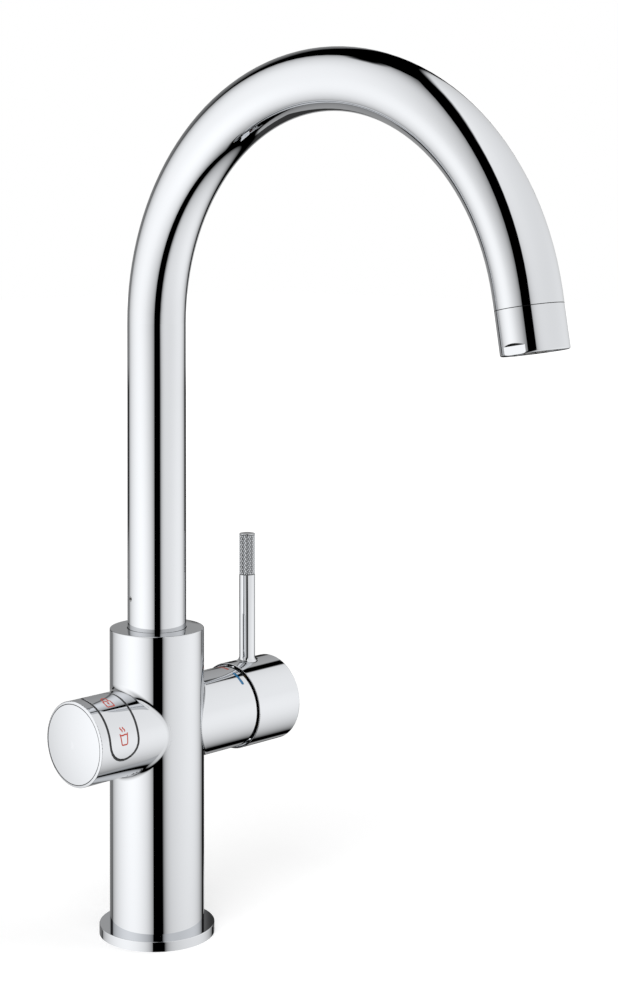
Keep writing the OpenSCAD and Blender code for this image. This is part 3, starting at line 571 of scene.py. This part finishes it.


# Places in the joints where shade is painted into the chrome, measured from the middle of the
# housings' axis towards the mixer and from the seam between the tube and its sleeve towards the
# outlet
side_middle, to_mixer = (0, 0, side_z), (1, 0, 0)
outlet_seam, to_outlet = (0, -219.94, 305.65), (0, -0.1702, -0.9854)
cap_seam_shade = joint_shade_zone(side_middle, to_mixer, 40, 48.83)
disc_rim_shade = joint_shade_zone(side_middle, to_mixer, -51.4, -20)
tube_seam_shade = joint_shade_zone(outlet_seam, to_outlet, -2, 0.3)
# Painted dark reflection on the downward ledge above the outlet's flats
flats_ledge_dark_reflection = joint_shade_zone(outlet_seam, to_outlet, 13, 15.04, 13.9)
disc_seat_shade = joint_shade_zone(side_middle, to_mixer, -53, -26, 18.62)
window_wall_shade = joint_shade_zone(side_middle, to_mixer, -49.5, -26, side_r - 0.06)
button_edge_shade = joint_shade_zone(side_middle, to_mixer, -49.5, -26, side_r - 0.08)

chrome = chrome_plate()
brass_up = turned_brass("Z")
ink = screen_ink()
wears = {
    "chrome": chrome,
    "brass": brass_up,
    "steel": drawn_steel(),
    "rubber": seal_rubber(),
    "black_plastic": moulded_nylon(),
    "white_plastic": machined_acetal(),
    "ceramic": lapped_alumina(),
    "board_green": solder_mask_board(),
    "cold_blue": fired_enamel("blue enamel", "#1273A6", "#0D5883", 56.5),
    "hot_red": fired_enamel("red enamel", "#B8402A", "#8E3120", 91),
}
for part in frame["record"]["subparts"]:
    mesh = nodes[part["node"]].data
    mesh.materials.clear()
    mesh.materials.append(wears[part["material_slot"]])
nodes["cartridge_nut"].data.materials[0] = turned_brass("X")
# Each of these parts gets its own chrome with painted shade in its joints
for node, where, painted_shade in (
        ("mixer_cap", "at the cap's open edge", [cap_seam_shade]),
        ("outlet_sleeve", "at the outlet's seam and above its flats", [tube_seam_shade, flats_ledge_dark_reflection]),
        ("control_end_disc", "on the end disc's rim", [disc_rim_shade]),
        ("tap_body", "inside the control's openings", [disc_seat_shade, window_wall_shade]),
        ("button_panel", "on the button's edge", [button_edge_shade])):
    nodes[node].data.materials[0] = chrome_plate("chromium plate, dull " + where, painted_shade)


# ---- Shapes ----

def fillet_strip(shape, pin_r, barrel_r, r, place, turns=144, arcs=20):
    """The smooth corner at the foot of a pin that stands up along Z on a barrel that lies along X:
    the track of a ball that rolls in the corner, closed through the metal. A grid is bent to it.
    Gives back the direction that the surface faces at each vertex."""
    made = bmesh.ops.create_grid(shape, x_segments=turns, y_segments=arcs + 2, size=1)
    # The closing point lies this deep in the pin and in the barrel
    depth = 1
    facing = {}
    for vert in made["verts"]:
        a = (vert.co.x + 1) * math.pi
        step = round((vert.co.y + 1) / 2 * (arcs + 2))
        pin_way, barrel_way = pin_r + r, barrel_r + r
        ball = Vector((pin_way * math.cos(a), pin_way * math.sin(a), 0))
        ball.z = math.sqrt(barrel_way * barrel_way - ball.y * ball.y)
        to_pin = Vector((-ball.x, -ball.y, 0)) / pin_way
        to_barrel = Vector((0, -ball.y, -ball.z)) / barrel_way
        if step == arcs + 1:
            side = (pin_r - depth) * math.sin(a)
            vert.co = ((pin_r - depth) * math.cos(a), side,
                       math.sqrt((barrel_r - depth) ** 2 - side * side))
            out = -to_barrel
        else:
            bend = to_pin.angle(to_barrel)
            turn = bend * (step % (arcs + 2)) / arcs
            out = -(math.sin(bend - turn) * to_pin + math.sin(turn) * to_barrel) / math.sin(bend)
            vert.co = ball - r * out
        facing[vert] = place.to_3x3() @ out
        vert.co = place @ vert.co
    bmesh.ops.remove_doubles(shape, verts=made["verts"], dist=1e-5)
    bmesh.ops.recalc_face_normals(shape, faces=shape.faces)
    shape.verts.index_update()
    return [facing.get(vert, Vector((0, 0, 1))) for vert in shape.verts]


def spun(shape, outline, place, steps=96):
    """Turns an outline of (radius, height) points all round Z. Ends on the axis close the
    shape."""
    verts = [shape.verts.new((r, 0, z)) for r, z in outline]
    edges = [shape.edges.new(pair) for pair in zip(verts, verts[1:])]
    bmesh.ops.spin(shape, geom=verts + edges, cent=(0, 0, 0), axis=(0, 0, 1), angle=math.tau,
                   steps=steps, use_merge=True)
    bmesh.ops.remove_doubles(shape, verts=shape.verts, dist=1e-5)
    bmesh.ops.transform(shape, matrix=place, verts=shape.verts)
    bmesh.ops.recalc_face_normals(shape, faces=shape.faces)


def rounded(r, z, edge, steps=6):
    """Points of an outline's rounded outer edge at radius r and height z."""
    turns = [i * math.pi / 2 / steps for i in range(steps + 1)]
    return [(r - edge + edge * math.cos(t), z - edge + edge * math.sin(t)) for t in turns]


# ---- Fillets ----

side_axis = Matrix.Translation((0, 0, side_z))
for name, quarter in (("control_fillet", -90), ("mixer_fillet", 90)):
    shape = bmesh.new()
    facing = fillet_strip(shape, side_r, body_r + skin, fillet_r,
                          side_axis @ Matrix.Rotation(math.radians(quarter), 4, "Y"))
    piece(name, shape, "tap", chrome, facing=facing)


# ---- Lever ----

lever_at = Matrix.Translation((lever_x, 0, 0))
cap_top = side_z + cap_r

# The rod's thinner end is in the cap. The rod is turned down under the knurl, and is a hair thinner
# at its tip.
shape = bmesh.new()
rod_end, shoulder = cap_top - 10.5, cap_top - 3
inner_r, core_r, tip_r = lever_r - 1, lever_r - 0.35, lever_r - 0.08
outline = [(0, rod_end), (inner_r, rod_end), (inner_r, shoulder), (lever_r, shoulder + 0.5),
           (lever_r, knurl_low - 0.15), (tip_r, knurl_low), (core_r, knurl_low),
           (core_r, knurl_top), (tip_r, knurl_top)]
outline += rounded(tip_r, lever_tip, 0.25) + [(0, lever_tip)]
spun(shape, outline, lever_at)
crease(shape)
lever = piece("lever_stem", shape, "mixer_lever", chrome)
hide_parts("lever_rod")

shape = bmesh.new()
facing = fillet_strip(shape, lever_r, cap_r, lever_flare_r,
                      Matrix.Translation((lever_x, 0, side_z)), turns=96, arcs=16)
piece("lever_foot", shape, "mixer_lever", chrome, facing=facing)


def knurled_sleeve(low, top, r, depth, around, rows):
    """Diamond knurling with flat tops. A flat grid of half diamonds is split into pyramids, their
    tips are cut off and the strip is curled round."""
    shape = bmesh.new()
    bmesh.ops.create_grid(shape, x_segments=2 * around, y_segments=2 * rows, size=1)
    cut_off = 0.5
    tip = depth / (1 - cut_off)
    for vert in shape.verts:
        i = round((vert.co.x + 1) * around)
        j = round((vert.co.y + 1) * rows)
        peak = (i + j) % 2 == 0 and 0 < j < 2 * rows
        vert.co = (i, j, r - depth + (tip if peak else 0))
    for face in list(shape.faces):
        low_pair = [v for v in face.verts if (round(v.co.x) + round(v.co.y)) % 2 == 1]
        bmesh.ops.connect_verts(shape, verts=low_pair)
    around_step = math.pi / around
    row_step = (top - low) / (2 * rows)
    bmesh.ops.remove_doubles(shape, verts=shape.verts, dist=1e-5)
    for vert in shape.verts:
        a = vert.co.x * around_step
        out = vert.co.z
        vert.co = (out * math.cos(a), out * math.sin(a), low + vert.co.y * row_step)
    bmesh.ops.remove_doubles(shape, verts=shape.verts, dist=1e-4)
    tips = [v for v in shape.verts if v.co.xy.length > r]
    bmesh.ops.bevel(shape, geom=tips, offset=cut_off * 100, offset_type="PERCENT", segments=1,
                    profile=0.5, affect="VERTICES", material=-1)
    # Both rims are drawn in to the core and joined
    rims = [e for e in shape.edges if e.is_boundary]
    made = bmesh.ops.extrude_edge_only(shape, edges=rims)
    inner = [v for v in made["geom"] if isinstance(v, bmesh.types.BMVert)]
    for vert in inner:
        vert.co.xy = vert.co.xy.normalized() * (r - 3 * depth)
    rims = [e for e in made["geom"] if isinstance(e, bmesh.types.BMEdge) and e.is_boundary]
    bmesh.ops.bridge_loops(shape, edges=rims)
    bmesh.ops.transform(shape, matrix=lever_at, verts=shape.verts)
    bmesh.ops.recalc_face_normals(shape, faces=shape.faces)
    return shape


# 22 diamonds round the 7.9 mm rod make each 1.13 mm wide, and 10 rows make each 2 mm high
piece("lever_knurl", knurled_sleeve(knurl_low, knurl_top, lever_r, knurl_depth, 22, 10),
      "mixer_lever", knurled_chrome(), smooth=False)


# ---- Upright ----

def upright_skin(rings=140, recess_depth=2.9, thickness=0.4, beyond=0.9):
    """The upright's polished outside: its wall above the ring, the rounded top edge, the top face
    and the recess round the spout. It lies a hair over the casting and is open where the housings
    come out, to beyond mm past them, under their cast corners."""
    shape = bmesh.new()
    r, top = body_r + skin, body_top + skin
    outline = [(r, base_top + (body_top - 1 - base_top) * i / rings) for i in range(rings + 1)]
    outline += rounded(r, top, top_edge_r) + [(recess_r, top), (recess_r, top - recess_depth)]
    spun(shape, outline, Matrix.Identity(4), steps=240)
    inside = []
    for face in shape.faces:
        at = face.calc_center_median()
        if math.hypot(at.y, at.z - side_z) < side_r + beyond:
            inside.append(face)
    bmesh.ops.delete(shape, geom=inside, context="FACES")
    bmesh.ops.solidify(shape, geom=shape.faces, thickness=thickness)
    crease(shape)
    piece("upright_skin", shape, "tap", chrome)


def mixer_housing_liner(inner_r=17, outer_r=side_r - 0.1, start=20, end=48.35):
    """A sleeve in the thickness of the mixer housing's wall, which reflections see in its
    place."""
    shape = bmesh.new()
    outline = [(inner_r, start), (outer_r, start), (outer_r, end), (inner_r, end), (inner_r, start)]
    spun(shape, outline, side_axis @ Matrix.Rotation(math.radians(90), 4, "Y"), steps=144)
    crease(shape)
    piece("mixer_housing_liner", shape, "tap", chrome)


upright_skin()
mixer_housing_liner()


# ---- Symbols on the button ----

def printed_lines(name, lines, angle):
    """Thin printed line work on the button. Each line is a list of points in mm, up and to the
    right from a middle that lies at an angle up from the front, and is laid on the round face."""
    half_line, lift, flattened, step_length = 0.32, 0.02, 0.12, 0.4
    drawing = bpy.data.curves.new(name, "CURVE")
    drawing.dimensions = "3D"
    drawing.bevel_depth = half_line
    drawing.bevel_resolution = 2
    drawing.use_fill_caps = True
    for closed, corners in lines:
        # Short steps, so that a straight line follows the round face
        points = []
        for here, there in zip(corners, corners[1:] + corners[:1] if closed else corners[1:]):
            steps = max(1, math.ceil(math.dist(here, there) / step_length))
            points += [[a + (b - a) * i / steps for a, b in zip(here, there)]
                       for i in range(steps)]
        points += [] if closed else [corners[-1]]
        line = drawing.splines.new("POLY")
        line.points.add(len(points) - 1)
        for point, (up, right) in zip(line.points, points):
            point.co = (up, right, 0, 1)
        line.use_cyclic_u = closed
    holder = bpy.data.objects.new(name, drawing)
    drawn = bpy.data.meshes.new_from_object(holder)
    bpy.data.objects.remove(holder)
    shape = bmesh.new()
    shape.from_mesh(drawn)
    bpy.data.meshes.remove(drawn)
    for vert in shape.verts:
        up, right, out = vert.co
        turn = math.radians(angle) + up / side_r
        r = side_r + lift + flattened * out
        vert.co = (button_x + right, -r * math.cos(turn), side_z + r * math.sin(turn))
    bmesh.ops.remove_doubles(shape, verts=shape.verts, dist=1e-5)
    bmesh.ops.recalc_face_normals(shape, faces=shape.faces)
    piece(name, shape, "button", ink)


def arc(up, right, r, start, end, steps=8):
    """Points of an arc, its angles in degrees turned from right towards up."""
    turns = [math.radians(start + (end - start) * i / steps) for i in range(steps + 1)]
    return [(up + r * math.sin(t), right + r * math.cos(t)) for t in turns]


tumbler = [(2.5, -2.3), (2.0, -2.1)] + arc(-2.0, -1.0, 0.7, 190, 270)
tumbler += arc(-2.0, 1.0, 0.7, 270, 350) + [(2.0, 2.1), (2.5, 2.3)]
water = [(1.75 + 0.12 * math.sin(1.9 * s), s) for s in [-2.0 + 0.4 * i for i in range(11)]]
steam = [[(3.2 + 0.28 * i, right + 0.35 * math.sin(i * 0.75) - 0.05 * i) for i in range(9)]
         for right in (-0.8, 0.75)]
printed_lines("tumbler_symbol", [(False, line) for line in (tumbler, water, *steam)], 10.8)

lock_body = arc(-2.9, -1.7, 0.4, 180, 270) + arc(-2.9, 1.7, 0.4, 270, 360)
lock_body += arc(0.2, 1.7, 0.4, 0, 90) + arc(0.2, -1.7, 0.4, 90, 180)
shackle = [(0.6, 1.35), (2.0, 1.35)] + arc(2.2, 0, 1.35, 0, 180, 12) + [(2.0, -1.35), (0.6, -1.35)]
keyhole = [(-0.9, 0.0), (-1.9, 0.0)]
eye = arc(-0.75, 0, 0.3, 0, 330, 10)
printed_lines("padlock_symbol",
              [(True, lock_body), (False, shackle), (False, keyhole), (True, eye)], 68.8)


# ---- Threaded shank ----

def thread(shape, r, pitch, depth, low, top, steps=64):
    """A screw thread: one ridge with a flat crest, wound round Z from low to top, with its root
    sunk in the tube."""
    turns = int((top - low - pitch) / pitch)
    sunk, flank, crest = 0.2, pitch * 0.45, pitch * 0.06
    root = r - depth - sunk
    corners = [(root, 0), (r, flank - crest), (r, flank + crest), (root, 2 * flank)]
    verts = [shape.verts.new((x, 0, low + z)) for x, z in corners]
    edges = [shape.edges.new(pair) for pair in zip(verts, verts[1:] + verts[:1])]
    face = shape.faces.new(verts)
    bmesh.ops.spin(shape, geom=[face] + edges + verts, cent=(0, 0, 0), axis=(0, 0, 1),
                   dvec=(0, 0, pitch / steps), angle=math.tau * turns, steps=turns * steps)
    bmesh.ops.recalc_face_normals(shape, faces=shape.faces)


# A fine thread of 1.5 mm, up to 3 mm below the worktop's top face
thread_pitch, thread_depth = 1.5, 0.9
shape = bmesh.new()
root_r = shank_r - thread_depth
outline = [(bore_r, shank_end + 0.4), (bore_r + 0.4, shank_end), (root_r - 0.2, shank_end),
           (root_r, shank_end + 0.3), (root_r, -3), (shank_r, -1.8),
           (shank_r, shank_top), (bore_r, shank_top), (bore_r, shank_end + 0.4)]
spun(shape, outline, Matrix.Identity(4))
crease(shape, 25)
tube = piece("shank_tube", shape, "tap", brass_up)
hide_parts("shank")
shape = bmesh.new()
thread(shape, shank_r, thread_pitch, thread_depth, shank_end + 0.3, -2.4)
piece("shank_thread", shape, "tap", brass_up, smooth=False)


# The photograph's upright shows nothing of the boiling water control in its polish, so the casting
# and the control are kept out of reflections. upright_skin and mixer_housing_liner stand in for
# the rest of the casting.
for name in ("tap_body", "button_panel", "button_frame", "control_end_disc", "button_pin",
             "control_carrier", "circuit_board", "button_switches", "end_disc_seal",
             "control_fillet", "tumbler_symbol", "padlock_symbol"):
    bpy.data.objects[name].visible_glossy = False
